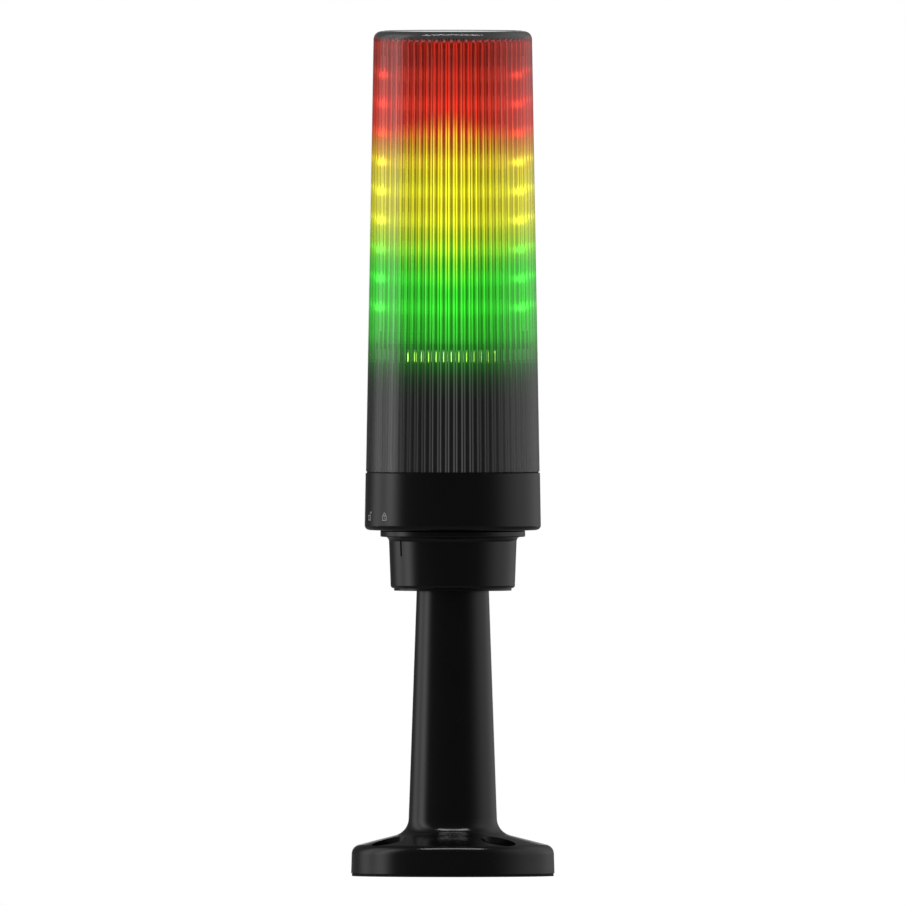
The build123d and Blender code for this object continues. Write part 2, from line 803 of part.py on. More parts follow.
# One square LED for each board and row, the rows of one colour together
led = Pos(led_h / 2, 0, 0) * Box(led_h, led_side, led_side)
led -= Pos(led_h, 0, 0) * Rot(0, 90, 0) * Cylinder(led_window_d / 2, 2 * led_window_depth)
led_face_r = led_board_apothem + board_t
for c, colour in enumerate(colours):
    number = 0
    for place in side_places:
        for row in range(rows_per_colour):
            number += 1
            z = row_first_z + row_pitch * (c * rows_per_colour + row)
            save(f"{colour}_led_{number}", place * Pos(led_face_r, 0, z) * led)
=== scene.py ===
import json
import math

import bmesh
import bpy
from mathutils import Matrix, Vector


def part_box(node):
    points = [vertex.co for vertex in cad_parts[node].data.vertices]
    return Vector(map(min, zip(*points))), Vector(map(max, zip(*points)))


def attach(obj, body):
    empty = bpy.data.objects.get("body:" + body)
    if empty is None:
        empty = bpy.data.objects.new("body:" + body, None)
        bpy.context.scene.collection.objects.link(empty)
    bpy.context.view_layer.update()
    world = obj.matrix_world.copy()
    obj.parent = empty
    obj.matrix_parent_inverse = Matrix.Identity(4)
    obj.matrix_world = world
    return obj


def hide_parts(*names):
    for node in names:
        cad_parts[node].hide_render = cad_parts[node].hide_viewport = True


# A lit three-colour stack light on its tube pedestal, in a plain white studio. Metres.
# Azimuths are in degrees from -Y, and grow towards +X.

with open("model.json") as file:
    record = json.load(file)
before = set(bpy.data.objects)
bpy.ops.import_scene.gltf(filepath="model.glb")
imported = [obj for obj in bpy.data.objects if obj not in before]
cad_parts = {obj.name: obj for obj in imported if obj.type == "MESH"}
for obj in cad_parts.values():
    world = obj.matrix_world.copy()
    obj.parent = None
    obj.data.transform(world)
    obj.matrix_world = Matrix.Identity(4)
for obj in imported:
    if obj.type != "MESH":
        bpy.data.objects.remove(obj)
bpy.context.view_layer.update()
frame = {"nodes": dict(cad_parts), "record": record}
MM = 0.001
WHITE = (1, 1, 1)

# Where the photograph shows the object, in the pixels of its 906 x 906 frame
IMAGE_SIDE_PX = 906
PX_PER_MM = 2.907
AXIS_X_PX = 452.8
GROUND_Y_PX = 876.0
CAMERA_AZIMUTH = 9.5
CAMERA_ELEVATION = 0.7
CAMERA_DISTANCE = 1.5

# Lens: a drafted cap that is smooth outside and fluted inside, as in the CAD model
LENS_WALL = 2.4 * MM
LENS_SLOPE = math.tan(math.radians(1.0))
LENS_TOP_T = 2.5 * MM
LENS_EDGE_R = 3.0 * MM
LENS_DISH = 0.15 * MM
FLUTES = 64
FLUTE_DEPTH = 1.2 * MM
GROOVE_R = 0.75 * MM
GROOVE_STEPS = 9
CREST_R = 0.2 * MM
CREST_STEPS = 4
FLANK_END = 0.9
EDGE_STEPS = 12
SHARP_DEG = 35.0
SMOKE_DENSITY = 520.0

# LED column: first row, distance between rows, and the way that one of its three sides faces
ROW_FIRST = 195.6 * MM
ROW_PITCH = 10.0 * MM
ROWS = 9
SIDES = 3
SIDE_AZIMUTH = -54.5

# Painted light of each colour in the lens, as glow on the flanks of its flutes and as haze, and the heights
# where they meet
FLANK_LIGHT = {"red": (0.80, 0.035, 0.015), "yellow": (0.92, 0.89, 0.04), "green": (0.07, 0.80, 0.055)}
HAZE_LIGHT = {"red": (0.33, 0.012, 0.004), "yellow": (0.386, 0.36, 0.001), "green": (0.009, 0.37, 0.003)}
FLANK_RED_FROM = (248 * MM, 261 * MM)
FLANK_YELLOW_FROM = (203 * MM, 224 * MM)
FLANK_ARCH = 8 * MM
HAZE_RED_FROM = (236 * MM, 258 * MM)
HAZE_YELLOW_FROM = (209 * MM, 232 * MM)
ROW_EDGE = 0.1 * MM
FADE_BELOW = (158 * MM, 196 * MM)
TOP_DIM_FROM = (262 * MM, 284 * MM)
TOP_DIM = 0.55
CEILING_FROM = (286.5 * MM, 288 * MM)
RIM_FROM = (287.5 * MM, 289 * MM)
HAZE_STRENGTH = 1.35
FLANK_STRENGTH = 0.85
GREY_GLOW = 0.068
GREY_HAZE = 0.01
RIM_GLOW = 0.045
ROW_SWELL = 0.25
ROW_SWELL_HEIGHT = 2.5 * MM

# Painted bright spots on the inner wall before the LEDs, where their light falls, and the painted haze round
# them
SPOT_STRENGTH = 2.4
SPOT_WIDTH_DEG = 7.0
SPOT_HEIGHT = 1.1 * MM
SPOT_HAZE = 0.35
SPOT_HAZE_DEG = 18.0

# Light on what stands inside the lens: glow painted on the LED boards and the driver housing, and the power
# LED
BOARD_STRENGTH = 0.02
BOARD_SIDE_DIM = 0.35
BOARD_ROW_SWELL = 4.0
HOUSING_STRENGTH = 0.4
POWER_STRENGTH = 10.0
POWER_AZIMUTH = -80.5
LED_BASE = (0.06, 0.06, 0.055, 1)

# Twist-lock marks on the collar
MARK_Z = 122.6 * MM
MARK_CLOSED_AZIMUTH = -41.5
TWIST_DEG = 20.0
MARK_LINE = 0.3 * MM
MARK_THICK = 0.03 * MM
MARK_STEPS = 6
BOW_STEPS = 10

# Studio light: its level for matt surfaces, its level in front, the share of it that shows through the lens,
# and soft lobes with their azimuth from the camera, width and level
PLAIN_LEVEL = 0.5
FRONT_LEVEL = 0.07
THROUGH_LENS = 0.25
SIDE_LOBES = ((-90, 45, 0.08), (-90, 12, 1.5), (-116, 14, 0.8), (90, 27, 0.55), (130, 28, 0.45))
LOBE_TOP_DEG = (35.0, 70.0)
BACKDROP_EDGE_DEG = (5.0, 11.0)
FLOOR_HALF = 0.7
FLOOR_WHITE = 0.88


def direction(azimuth, elevation):
    """Unit vector from the object towards an azimuth and an elevation."""
    a = math.radians(azimuth)
    e = math.radians(elevation)
    return Vector((math.sin(a) * math.cos(e), -math.cos(a) * math.cos(e), math.sin(e)))


# Node helpers
def new_material(name):
    material = bpy.data.materials.new(name)
    material.use_nodes = True
    tree = material.node_tree
    tree.nodes.clear()
    return material, tree, tree.nodes.new("ShaderNodeOutputMaterial")


def add(tree, kind, inputs=None, **settings):
    """New node with its settings and its inputs, which are values or other nodes' outputs."""
    node = tree.nodes.new(kind)
    for key, value in settings.items():
        setattr(node, key, value)
    for key, value in (inputs or {}).items():
        if isinstance(value, bpy.types.NodeSocket):
            tree.links.new(value, node.inputs[key])
        else:
            node.inputs[key].default_value = value
    return node


def maths(tree, operation, *values):
    """Result of one sum on numbers or number sockets."""
    return add(tree, "ShaderNodeMath", dict(enumerate(values)), operation=operation).outputs[0]


def product(tree, first, *others):
    """Numbers or number sockets times one another, with at least one socket among them."""
    for other in others:
        first = maths(tree, "MULTIPLY", first, other)
    return first


def step_between(tree, value, low, high, from_value=0.0, to_value=1.0):
    """Smooth step of a value between two limits."""
    limits = {"Value": value, "From Min": low, "From Max": high, "To Min": from_value, "To Max": to_value}
    return add(tree, "ShaderNodeMapRange", limits, interpolation_type="SMOOTHSTEP").outputs[0]


def scaled(tree, colour, factor):
    """Colour times a number."""
    inputs = {0: colour, "Scale": factor}
    return add(tree, "ShaderNodeVectorMath", inputs, operation="SCALE").outputs["Vector"]


def summed(tree, a, b):
    """Sum of two colours."""
    return add(tree, "ShaderNodeVectorMath", {0: a, 1: b}, operation="ADD").outputs["Vector"]


def dot(tree, a, b):
    """How far two directions agree, from -1 to 1."""
    return add(tree, "ShaderNodeVectorMath", {0: a, 1: b}, operation="DOT_PRODUCT").outputs["Value"]


def mixed(tree, factor, a, b):
    """Blend of two colours by a number socket."""
    node = add(tree, "ShaderNodeMix", data_type="RGBA")
    tree.links.new(factor, node.inputs[0])
    node.inputs[6].default_value = (*a, 1)
    node.inputs[7].default_value = (*b, 1)
    return node.outputs[2]


def position(tree):
    """Sockets of the point's place on the object: X, Y and Z."""
    coordinates = add(tree, "ShaderNodeTexCoord")
    return add(tree, "ShaderNodeSeparateXYZ", {0: coordinates.outputs["Object"]}).outputs


def three_colours(tree, height, light, red_from, yellow_from):
    """Light of the column at a height, where the three colours run into one another."""
    red = step_between(tree, height, *red_from)
    below_red = maths(tree, "SUBTRACT", 1.0, red)
    yellow = step_between(tree, height, *yellow_from)
    green = maths(tree, "SUBTRACT", 1.0, yellow)
    colour = scaled(tree, light["red"], red)
    colour = summed(tree, colour, scaled(tree, light["yellow"], maths(tree, "MULTIPLY", yellow, below_red)))
    return summed(tree, colour, scaled(tree, light["green"], green))


def row_colours(tree, height, light):
    """Light of the nearest row of LEDs."""
    meets = (ROW_FIRST + ROW_PITCH * (rows - 0.5) for rows in (6, 3))
    return three_colours(tree, height, light, *((z - ROW_EDGE, z + ROW_EDGE) for z in meets))


def off_nearest(tree, value, first, pitch):
    """How far a value is from the nearest of evenly spaced ones."""
    turns = maths(tree, "DIVIDE", maths(tree, "SUBTRACT", value, first), pitch)
    return maths(tree, "MULTIPLY", maths(tree, "PINGPONG", turns, 0.5), pitch)


def off_side(tree, x, y):
    """Angle in degrees between a point round the axis and the nearest side of the column."""
    azimuth = maths(tree, "DEGREES", maths(tree, "ARCTAN2", x, maths(tree, "MULTIPLY", y, -1.0)))
    return off_nearest(tree, azimuth, SIDE_AZIMUTH, 360.0 / SIDES)


def bell(tree, value, width):
    """Bell curve, 1 at zero."""
    share = maths(tree, "DIVIDE", value, width)
    return maths(tree, "EXPONENT", product(tree, share, share, -1.0))


def off_row(tree, height):
    """Height of a point above or below the nearest row of LEDs."""
    return off_nearest(tree, height, ROW_FIRST, ROW_PITCH)


def lower_fade(tree, height):
    """How the light of the column dies away below its first row."""
    share = step_between(tree, height, *FADE_BELOW)
    return maths(tree, "MULTIPLY", share, share)


def grain(tree, scale, detail=3.0):
    coordinates = add(tree, "ShaderNodeTexCoord")
    inputs = {"Vector": coordinates.outputs["Object"], "Scale": scale, "Detail": detail}
    return add(tree, "ShaderNodeTexNoise", inputs).outputs[0]


def bump(tree, height, strength, distance):
    inputs = {"Height": height, "Strength": strength, "Distance": distance}
    return add(tree, "ShaderNodeBump", inputs).outputs[0]


# Materials
def moulded(name, dark, light, gloss=(0.27, 0.33), grain_scale=2600.0, grain_strength=0.12):
    """Satin moulded plastic: a fine spark-eroded grain and faint clouds in its tone and gloss."""
    material, tree, output = new_material(name)
    clouds = grain(tree, 60.0)
    inputs = {
        "Base Color": mixed(tree, clouds, dark, light),
        "Roughness": step_between(tree, clouds, 0.3, 0.7, *gloss),
        "IOR": 1.45,
        "Normal": bump(tree, grain(tree, grain_scale, 2.0), grain_strength, 0.02 * MM),
    }
    shader = add(tree, "ShaderNodeBsdfPrincipled", inputs)
    tree.links.new(shader.outputs[0], output.inputs[0])
    return material


def metal(name, dark, light, roughness):
    material, tree, output = new_material(name)
    clouds = grain(tree, 900.0)
    inputs = {
        "Base Color": mixed(tree, clouds, dark, light),
        "Metallic": 1.0,
        "Roughness": roughness,
        "Normal": bump(tree, clouds, 0.1, 0.02 * MM),
    }
    shader = add(tree, "ShaderNodeBsdfPrincipled", inputs)
    tree.links.new(shader.outputs[0], output.inputs[0])
    return material


def lit_surface(name, base, roughness, strength, side_dim=0.0, row_swell=0.0):
    """Surface inside the lens with the LEDs' light painted on it as glow, brighter near a row and in the
    middle of a side.
    """
    material, tree, output = new_material(name)
    x, y, height = position(tree)
    colour = row_colours(tree, height, FLANK_LIGHT)
    fade = lower_fade(tree, height)
    level = product(tree, fade, fade, strength)
    if side_dim:
        off = maths(tree, "DIVIDE", off_side(tree, x, y), 180.0 / SIDES)
        level = product(tree, level, maths(tree, "SUBTRACT", 1.0, maths(tree, "MULTIPLY", off, side_dim)))
    if row_swell:
        swell = bell(tree, off_row(tree, height), ROW_SWELL_HEIGHT)
        level = product(tree, level, maths(tree, "MULTIPLY_ADD", swell, row_swell, 1.0))
    inputs = {
        "Base Color": mixed(tree, grain(tree, 1500.0), base, tuple(0.85 * c for c in base)),
        "Roughness": roughness,
        "Emission Color": colour,
        "Emission Strength": level,
    }
    shader = add(tree, "ShaderNodeBsdfPrincipled", inputs)
    tree.links.new(shader.outputs[0], output.inputs[0])
    return material


def lamp(name, colour, strength, aim=None):
    """Lit LED package, which may shine mostly one way."""
    material, tree, output = new_material(name)
    if aim:
        normal = add(tree, "ShaderNodeTexCoord").outputs["Normal"]
        strength = step_between(tree, dot(tree, normal, aim), -1.0, 0.8, 0.0, strength)
    inputs = {
        "Base Color": LED_BASE,
        "Roughness": 0.35,
        "Emission Color": mixed(tree, grain(tree, 2500.0), colour, tuple(0.8 * c for c in colour)),
        "Emission Strength": strength,
    }
    shader = add(tree, "ShaderNodeBsdfPrincipled", inputs)
    tree.links.new(shader.outputs[0], output.inputs[0])
    return material


def flank_light(tree, height, off):
    """Painted glow on the flanks, for the column's light that they throw outwards. Its colours meet in an
    arch between two sides of the column.
    """
    lift = maths(tree, "MULTIPLY_ADD", off, FLANK_ARCH * SIDES / 180.0, -FLANK_ARCH / 2)
    red = step_between(tree, maths(tree, "SUBTRACT", height, lift), *FLANK_RED_FROM)
    green = step_between(tree, maths(tree, "ADD", height, lift), *FLANK_YELLOW_FROM, 1.0, 0.0)
    yellow = maths(tree, "SUBTRACT", maths(tree, "SUBTRACT", 1.0, red), green)
    colour = scaled(tree, FLANK_LIGHT["red"], red)
    colour = summed(tree, colour, scaled(tree, FLANK_LIGHT["yellow"], yellow))
    return summed(tree, colour, scaled(tree, FLANK_LIGHT["green"], green))


def led_spots(tree, height, off):
    """1 in the middle of the painted bright spot before each LED."""
    half_pitch = ROW_PITCH / 2
    on_rows = maths(tree, "GREATER_THAN", height, ROW_FIRST - half_pitch)
    below_top = maths(tree, "LESS_THAN", height, ROW_FIRST + ROWS * ROW_PITCH - half_pitch)
    spot = product(tree, bell(tree, off, SPOT_WIDTH_DEG), bell(tree, off_row(tree, height), SPOT_HEIGHT))
    return product(tree, spot, on_rows, below_top)


def smoked_lens():
    """Clear smoked plastic with the LEDs' light painted on its inner wall as glow: haze, the flutes' flanks,
    and a spot before each LED.
    """
    material, tree, output = new_material("smoked_lens")
    x, y, height = position(tree)
    off = off_side(tree, x, y)
    flank = add(tree, "ShaderNodeAttribute", attribute_name="flank").outputs["Fac"]
    inside = add(tree, "ShaderNodeAttribute", attribute_name="inside").outputs["Fac"]
    fade = lower_fade(tree, height)
    top = step_between(tree, height, *TOP_DIM_FROM, 1.0, TOP_DIM)
    swell = bell(tree, off_row(tree, height), ROW_SWELL_HEIGHT)
    gain = product(tree, fade, top, maths(tree, "MULTIPLY_ADD", swell, ROW_SWELL, 1.0))
    haze = three_colours(tree, height, HAZE_LIGHT, HAZE_RED_FROM, HAZE_YELLOW_FROM)
    before_leds = maths(tree, "MULTIPLY_ADD", bell(tree, off, SPOT_HAZE_DEG), SPOT_HAZE, HAZE_STRENGTH)
    glow = scaled(tree, haze, product(tree, gain, before_leds))
    thrown = product(tree, flank, fade, gain, FLANK_STRENGTH)
    glow = summed(tree, glow, scaled(tree, flank_light(tree, height, off), thrown))
    spot = product(tree, led_spots(tree, height, off), SPOT_STRENGTH)
    glow = summed(tree, glow, scaled(tree, row_colours(tree, height, FLANK_LIGHT), spot))

    # Where the column's light has died away, a painted grey glow stands for the studio's light in the wall,
    # stronger on the flanks
    grey = maths(tree, "MULTIPLY_ADD", flank, GREY_GLOW, GREY_HAZE)
    unlit = product(tree, maths(tree, "SUBTRACT", 1.0, fade), grey)
    glow = summed(tree, glow, scaled(tree, WHITE, unlit))
    # Painted grey glow on the outside's top edge and top, for the light from inside that the rounded edge
    # shows
    rim = maths(tree, "SUBTRACT", step_between(tree, height, *RIM_FROM), inside)
    rim = product(tree, maths(tree, "MAXIMUM", rim, 0.0), RIM_GLOW)
    below_ceiling = step_between(tree, height, *CEILING_FROM, 1.0, 0.0)
    glow = summed(tree, scaled(tree, glow, product(tree, inside, below_ceiling)), scaled(tree, WHITE, rim))
    clouds = grain(tree, 40.0)
    inputs = {
        "Base Color": mixed(tree, clouds, WHITE, (0.97, 0.97, 0.97)),
        "Roughness": step_between(tree, clouds, 0.3, 0.7, 0.01, 0.03),
        "IOR": 1.5,
        "Transmission Weight": 1.0,
        "Emission Color": glow,
        "Emission Strength": 1.0,
    }
    shader = add(tree, "ShaderNodeBsdfPrincipled", inputs)
    smoke = add(tree, "ShaderNodeVolumeAbsorption", {"Color": (0, 0, 0, 1), "Density": SMOKE_DENSITY})
    tree.links.new(shader.outputs[0], output.inputs["Surface"])
    tree.links.new(smoke.outputs[0], output.inputs["Volume"])
    return material


# The CAD pieces keep their shapes and get their finishes. Each plastic has a darker and a lighter tone.
INNER_BLACKS = ((0.012, 0.012, 0.012), (0.018, 0.018, 0.018))
BLACKS = ((0.003, 0.003, 0.003), (0.005, 0.005, 0.005))
GREYS = ((0.3, 0.31, 0.32), (0.36, 0.37, 0.38))
GREENS = ((0.012, 0.09, 0.035), (0.02, 0.13, 0.05))
RUBBERS = ((0.006, 0.006, 0.006), (0.01, 0.01, 0.01))
SLEEVES = ((0.05, 0.055, 0.08), (0.07, 0.075, 0.1))
inner_black = moulded("inner_plastic", *INNER_BLACKS, (0.3, 0.4))
finish_of = {
    "black_plastic": moulded("black_plastic", *BLACKS, (0.15, 0.19), grain_strength=0.05),
    "inner_plastic": inner_black,
    "seal_rubber": moulded("seal_rubber", *RUBBERS, (0.65, 0.8), 1200.0, 0.2),
    "terminal_plastic": moulded("terminal_plastic", *GREYS, (0.4, 0.5)),
    "circuit_board": moulded("circuit_board", *GREENS, (0.35, 0.45), 900.0, 0.1),
    "header_plastic": inner_black,
    "capacitor_can": moulded("capacitor_can", *SLEEVES, (0.3, 0.4)),
    "steel": metal("steel", (0.5, 0.5, 0.52), (0.66, 0.66, 0.68), 0.3),
    "brass": metal("brass", (0.72, 0.52, 0.22), (0.86, 0.66, 0.32), 0.25),
    # The LED boards get the LEDs' light painted on them as glow
    "led_board": lit_surface(
        "led_board", (0.01, 0.01, 0.01), 0.6, BOARD_STRENGTH, BOARD_SIDE_DIM, BOARD_ROW_SWELL
    ),
    "red_led": lamp("red_led", (0.95, 0.06, 0.03), 0.35),
    "yellow_led": lamp("yellow_led", (1.0, 0.95, 0.05), 0.3),
    "green_led": lamp("green_led", (0.08, 1.0, 0.08), 0.3),
    "power_led": lamp("power_led", (0.5, 1.0, 0.1), POWER_STRENGTH, direction(POWER_AZIMUTH, 0)),
}


def dress(node, material):
    mesh = frame["nodes"][node].data
    if not mesh.materials:
        mesh.materials.append(material)
    for i in range(len(mesh.materials)):
        mesh.materials[i] = material


for part in frame["record"]["subparts"]:
    if part["node"] != "lens":
        dress(part["node"], finish_of[part["material_slot"]])
# The driver housing gets the LEDs' light painted on it as glow, brighter towards its top
dress("driver_housing", lit_surface("housing_plastic_painted_glow", (0.014, 0.014, 0.014), 0.35, HOUSING_STRENGTH))


# The lens as a finer mesh than the CAD solid, which it replaces
def ring_points(turns, radii, z):
    """Ring of points at a height, each with its own place round the axis and its own radius."""
    return [(r * math.cos(turn), r * math.sin(turn), z) for turn, r in zip(turns, radii)]


def flute_profile(crest):
    """One flute from its crest on: straight flanks and a round groove between them.

    Each point is its turn round the axis, its radius and its share of the flank's painted glow.
    """
    half_pitch = math.pi / FLUTES
    crest_x, crest_y = crest * math.cos(half_pitch), crest * math.sin(half_pitch)
    # The groove on the X axis, and the point where the flank from the crest touches its rounding
    centre_x = crest + FLUTE_DEPTH - GROOVE_R
    reach = math.hypot(centre_x - crest_x, crest_y)
    slope = math.atan2(crest_y, crest_x - centre_x) - math.acos(GROOVE_R / reach)
    touch = (centre_x + GROOVE_R * math.cos(slope), GROOVE_R * math.sin(slope))
    # Rounding of the crest, between flanks that lean by an angle
    run = (touch[0] - crest_x) * math.sin(half_pitch) - (touch[1] - crest_y) * math.cos(half_pitch)
    rise = (touch[0] - crest_x) * math.cos(half_pitch) + (touch[1] - crest_y) * math.sin(half_pitch)
    lean = math.atan2(rise, run)
    half = []
    for i in range(CREST_STEPS + 1):
        angle = lean * i / CREST_STEPS
        x = crest + CREST_R * (1 / math.cos(lean) - math.cos(angle))
        y = CREST_R * math.sin(angle)
        half.append((math.atan2(y, x), math.hypot(x, y), float(i == CREST_STEPS)))
    x, y = (a + (b - a) * FLANK_END for a, b in zip((crest_x, crest_y), touch))
    half.append((half_pitch - math.atan2(y, x), math.hypot(x, y), 1.0))
    groove = []
    for i in range(GROOVE_STEPS):
        angle = slope * (2 * i / (GROOVE_STEPS - 1) - 1)
        x = centre_x + GROOVE_R * math.cos(angle)
        y = GROOVE_R * math.sin(angle)
        groove.append((half_pitch + math.atan2(y, x), math.hypot(x, y), 0.0))
    return half + groove + [(2 * half_pitch - turn, r, glow) for turn, r, glow in reversed(half[1:])]


def build_lens():
    low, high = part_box("lens")
    base_r = (high.x - low.x) / 2
    ceiling_z = high.z - LENS_TOP_T

    def outer(z):
        return base_r - (z - low.z) * LENS_SLOPE

    top_crest = outer(high.z) - LENS_WALL
    profile = flute_profile(top_crest)
    pitch = 2 * math.pi / FLUTES
    turns = [pitch * i + turn for i in range(FLUTES) for turn, _, _ in profile]
    heights = [r - top_crest for _, r, _ in profile] * FLUTES
    glows = [glow for _, _, glow in profile] * FLUTES
    steps = len(turns)

    # Outside, from the bottom edge up and over the rounded top edge
    edge_z = high.z - LENS_EDGE_R
    edge_r = outer(edge_z) - LENS_EDGE_R
    outside = [(outer(low.z), low.z)]
    for i in range(EDGE_STEPS + 1):
        angle = math.pi / 2 * i / EDGE_STEPS
        outside.append((edge_r + LENS_EDGE_R * math.cos(angle), edge_z + LENS_EDGE_R * math.sin(angle)))
    outside += [(edge_r - 2 * LENS_DISH, high.z), (edge_r - 3 * LENS_DISH, high.z - LENS_DISH)]
    rings = [ring_points(turns, [r] * steps, z) for r, z in outside]
    outside_count = len(rings)
    for z in (low.z, ceiling_z):
        crest = outer(z) - LENS_WALL
        rings.append(ring_points(turns, [crest + h for h in heights], z))
    points = [point for ring in rings for point in ring]
    points += [(0, 0, high.z - LENS_DISH), (0, 0, ceiling_z)]
    top, ceiling = len(points) - 2, len(points) - 1
    last, bottom_inside, top_inside = outside_count - 1, outside_count, outside_count + 1
    bands = [(k, k + 1) for k in range(last)] + [(top_inside, bottom_inside), (bottom_inside, 0)]
    faces = []
    for i in range(steps):
        j = (i + 1) % steps
        faces += [(a * steps + i, a * steps + j, b * steps + j, b * steps + i) for a, b in bands]
        faces.append((last * steps + i, last * steps + j, top))
        faces.append((top_inside * steps + j, top_inside * steps + i, ceiling))
    mesh = bpy.data.meshes.new("lens_shell")
    mesh.from_pydata(points, [], faces)
    mesh.materials.append(smoked_lens())
    # The inside attribute marks the inner wall, and the flank attribute masks the painted glow on the
    # flutes' flanks
    inside = mesh.attributes.new("inside", "FLOAT", "POINT")
    flank = mesh.attributes.new("flank", "FLOAT", "POINT")
    for i in range(bottom_inside * steps, len(points) - 2):
        inside.data[i].value = 1.0
        flank.data[i].value = glows[i % steps]
    mesh.shade_smooth()
    mesh.set_sharp_from_angle(angle=math.radians(SHARP_DEG))
    piece = bpy.data.objects.new("lens_shell", mesh)
    bpy.context.scene.collection.objects.link(piece)
    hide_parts("lens")
    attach(piece, "head")


build_lens()


# Marks printed on the collar: an open and a closed padlock
def ribbon(line, closed=False):
    """Strip along a line of flat points, as pairs of its left and right edge."""
    count = len(line)
    pairs = []
    for i, (s, t) in enumerate(line):
        before = line[i - 1] if closed or i else line[0]
        after = line[(i + 1) % count] if closed or i < count - 1 else line[-1]
        back = Vector((s - before[0], t - before[1])).normalized()
        ahead = Vector((after[0] - s, after[1] - t)).normalized()
        along = (back + ahead).normalized()
        # A mitred corner keeps the strip's width
        reach = MARK_LINE / 2 / max(0.5, along.dot(ahead if ahead.length else back))
        aside = (-along.y * reach, along.x * reach)
        pairs.append(((s + aside[0], t + aside[1]), (s - aside[0], t - aside[1])))
    return pairs


def traced(corners, closed=False):
    """Line through corners, with points between them so that it can follow the collar."""
    line = []
    for (s, t), (s_end, t_end) in zip(corners, corners[1:] + corners[:1] if closed else corners[1:]):
        shares = (i / MARK_STEPS for i in range(MARK_STEPS))
        line += [(s + (s_end - s) * share, t + (t_end - t) * share) for share in shares]
    return line if closed else line + corners[-1:]


def padlock(opened):
    """Strips of a padlock: its body, which is a closed strip, its shackle and its keyhole."""
    body_w, body_h, leg, bow_r = 2.0 * MM, 1.5 * MM, 0.35 * MM, 0.6 * MM
    # The open shackle is swung up and aside
    lift, aside = (0.3 * MM, 2 * bow_r) if opened else (0.0, 0.0)
    foot_t = body_h + MARK_LINE / 2
    body = [(-body_w / 2, 0), (body_w / 2, 0), (body_w / 2, body_h), (-body_w / 2, body_h)]
    shackle = [(aside - bow_r, foot_t)]
    for i in range(BOW_STEPS + 1):
        angle = math.pi * (1 - i / BOW_STEPS)
        shackle.append((aside + bow_r * math.cos(angle), body_h + leg + lift + bow_r * math.sin(angle)))
    if not opened:
        shackle.append((bow_r, foot_t))
    keyhole = [(0, body_h * 0.35), (0, body_h * 0.65)]
    return ((ribbon(traced(body, True), True), True), (ribbon(shackle), False), (ribbon(keyhole), False))


def build_lock_marks():
    """Thin raised print that follows the collar's outside."""
    collar = frame["nodes"]["collar"]
    radius = (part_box("collar")[1].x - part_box("collar")[0].x) / 2
    bm = bmesh.new()

    def on_collar(azimuth, s, t, off):
        """Point of the collar's outside at a flat place beside a mark's own azimuth."""
        out = direction(azimuth + math.degrees(s / radius), 0)
        _, hit, _, _ = collar.ray_cast(out * 2 * radius + Vector((0, 0, MARK_Z + t)), -out)
        return hit + out * off

    for azimuth, opened in ((MARK_CLOSED_AZIMUTH, False), (MARK_CLOSED_AZIMUTH - TWIST_DEG, True)):
        for strip, closed in padlock(opened):
            rows = []
            for left, right in strip:
                places = ((left, 0.0), (left, MARK_THICK), (right, MARK_THICK), (right, 0.0))
                rows.append([bm.verts.new(on_collar(azimuth, s, t, off)) for (s, t), off in places])
            for a, b in zip(rows, rows[1:] + rows[:1] if closed else rows[1:]):
                for k in range(4):
                    bm.faces.new((a[k], b[k], b[(k + 1) % 4], a[(k + 1) % 4]))
            if not closed:
                bm.faces.new(rows[0])
                bm.faces.new(list(reversed(rows[-1])))
    bmesh.ops.recalc_face_normals(bm, faces=bm.faces)
    mesh = bpy.data.meshes.new("lock_marks")
    bm.to_mesh(mesh)
    bm.free()
    mesh.materials.append(moulded("mark_ink", (0.4, 0.4, 0.4), (0.5, 0.5, 0.5), (0.5, 0.6)))
    piece = bpy.data.objects.new("lock_marks", mesh)
    bpy.context.scene.collection.objects.link(piece)
    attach(piece, "head")


build_lock_marks()


# Studio: white behind the object, dim in front of it, with soft light from the sides, and a pale floor
def build_world():
    world = bpy.data.worlds.new("studio")
    bpy.context.scene.world = world
    world.use_nodes = True
    tree = world.node_tree
    tree.nodes.clear()
    output = tree.nodes.new("ShaderNodeOutputWorld")
    path = add(tree, "ShaderNodeLightPath").outputs
    ray = add(tree, "ShaderNodeTexCoord").outputs["Generated"]
    front = dot(tree, ray, direction(CAMERA_AZIMUTH, 0))
    side = dot(tree, ray, direction(CAMERA_AZIMUTH + 90, 0))
    up = dot(tree, ray, Vector((0, 0, 1)))
    azimuth = maths(tree, "DEGREES", maths(tree, "ARCTAN2", side, front))

    # What glossy surfaces mirror, and what the lens lets through
    lobes = 0.0
    for centre, width, level in SIDE_LOBES:
        share = bell(tree, maths(tree, "SUBTRACT", azimuth, centre), width)
        lobes = maths(tree, "MULTIPLY_ADD", share, level, lobes)
    low, high = (math.sin(math.radians(a)) for a in LOBE_TOP_DEG)
    below_top = step_between(tree, up, low, high, 1.0, 0.0)
    through = maths(tree, "MULTIPLY_ADD", path["Is Transmission Ray"], THROUGH_LENS - 1.0, 1.0)
    studio = product(tree, maths(tree, "MULTIPLY_ADD", lobes, below_top, FRONT_LEVEL), through)
    inner, outer = (math.cos(math.radians(a)) for a in BACKDROP_EDGE_DEG)
    backdrop = step_between(tree, maths(tree, "MULTIPLY", front, -1.0), outer, inner)
    bent = maths(tree, "MAXIMUM", path["Is Glossy Ray"], path["Is Transmission Ray"])
    white = maths(tree, "MAXIMUM", path["Is Camera Ray"], product(tree, backdrop, bent))
    # Matt surfaces get an even light, at which a colour renders about as it is written
    plain = maths(tree, "MULTIPLY", path["Is Diffuse Ray"], PLAIN_LEVEL)
    level = maths(tree, "MAXIMUM", maths(tree, "MAXIMUM", studio, white), plain)
    background = add(tree, "ShaderNodeBackground", {"Color": (1, 1, 1, 1), "Strength": level})
    tree.links.new(background.outputs[0], output.inputs[0])


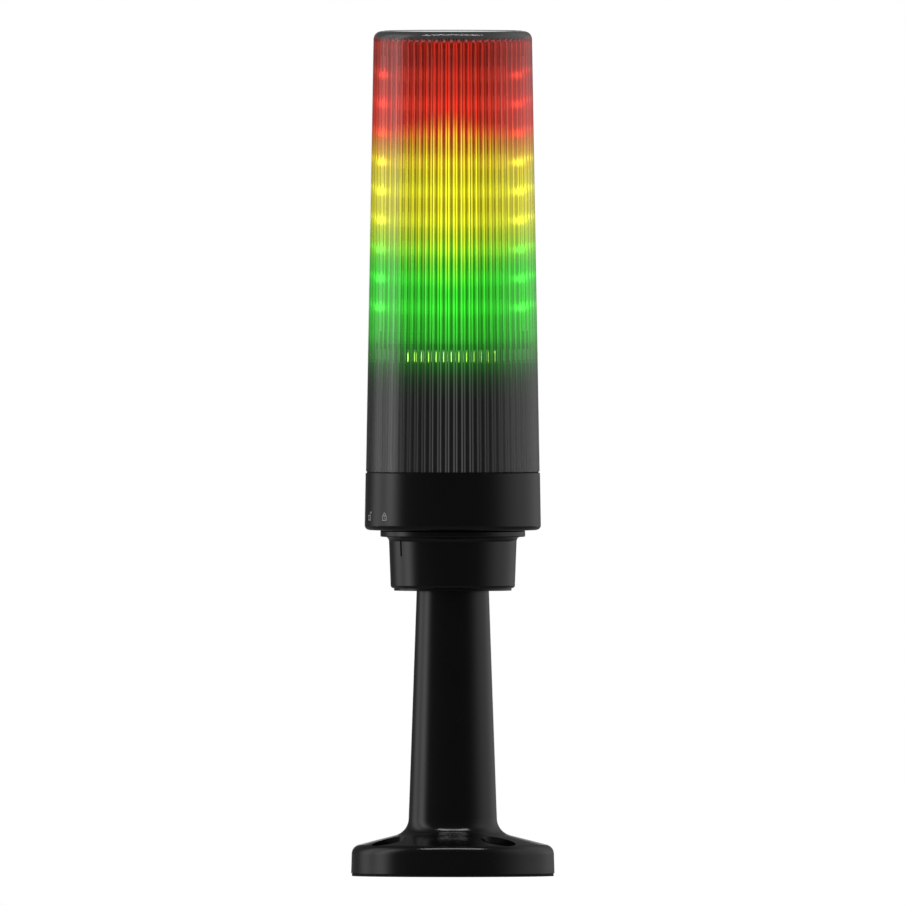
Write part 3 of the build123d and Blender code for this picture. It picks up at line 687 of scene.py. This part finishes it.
def build_floor():
    mesh = bpy.data.meshes.new("floor")
    corners = [(FLOOR_HALF * x, FLOOR_HALF * y, 0) for x, y in ((-1, -1), (1, -1), (1, 1), (-1, 1))]
    mesh.from_pydata(corners, [], [(0, 1, 2, 3)])
    material, tree, output = new_material("pale_floor")
    path = add(tree, "ShaderNodeLightPath").outputs
    seen = maths(tree, "MAXIMUM", path["Is Camera Ray"], path["Is Transmission Ray"])
    inputs = {
        "Base Color": (0.2, 0.2, 0.2, 1),
        "Roughness": 0.9,
        "Specular IOR Level": 0.0,
        "Emission Color": (1, 1, 1, 1),
        "Emission Strength": product(tree, seen, FLOOR_WHITE),
    }
    shader = add(tree, "ShaderNodeBsdfPrincipled", inputs)
    tree.links.new(shader.outputs[0], output.inputs[0])
    mesh.materials.append(material)
    floor = bpy.data.objects.new("floor", mesh)
    bpy.context.scene.collection.objects.link(floor)


def facing_back(place, back):
    """Place and turn of a lamp or camera that looks against a direction."""
    return Matrix.Translation(place) @ back.to_track_quat("Z", "Y").to_matrix().to_4x4()


def soft_box(name, azimuth, elevation, distance, width, height, radiance, aim_z):
    """Soft box aimed at the object's axis, given by the brightness of its face."""
    data = bpy.data.lights.new(name, "AREA")
    data.shape = "RECTANGLE"
    data.size = width
    data.size_y = height
    data.energy = radiance * math.pi * width * height
    light = bpy.data.objects.new(name, data)
    back = direction(azimuth, elevation)
    light.matrix_world = facing_back(Vector((0, 0, aim_z)) + back * distance, back)
    bpy.context.scene.collection.objects.link(light)


def build_camera():
    """Nearly level with the object, with parallel lines of sight as in the photograph."""
    data = bpy.data.cameras.new("camera")
    data.type = "ORTHO"
    data.ortho_scale = IMAGE_SIDE_PX / PX_PER_MM * MM
    data.clip_end = 100.0
    camera = bpy.data.objects.new("camera", data)
    back = direction(CAMERA_AZIMUTH, CAMERA_ELEVATION)
    right = Vector((0, 0, 1)).cross(back).normalized()
    middle_px = IMAGE_SIDE_PX / 2
    target = Vector((0, 0, (GROUND_Y_PX - middle_px) / PX_PER_MM * MM))
    target += right * (middle_px - AXIS_X_PX) / PX_PER_MM * MM
    camera.matrix_world = facing_back(target + back * CAMERA_DISTANCE, back)
    bpy.context.scene.collection.objects.link(camera)
    bpy.context.scene.camera = camera


build_world()
build_floor()
soft_box(
    "top_box",
    azimuth=CAMERA_AZIMUTH,
    elevation=78,
    distance=0.9,
    width=0.84,
    height=0.20,
    radiance=6.5,
    aim_z=0.15,
)
build_camera()
bpy.context.scene.view_settings.view_transform = "Standard"
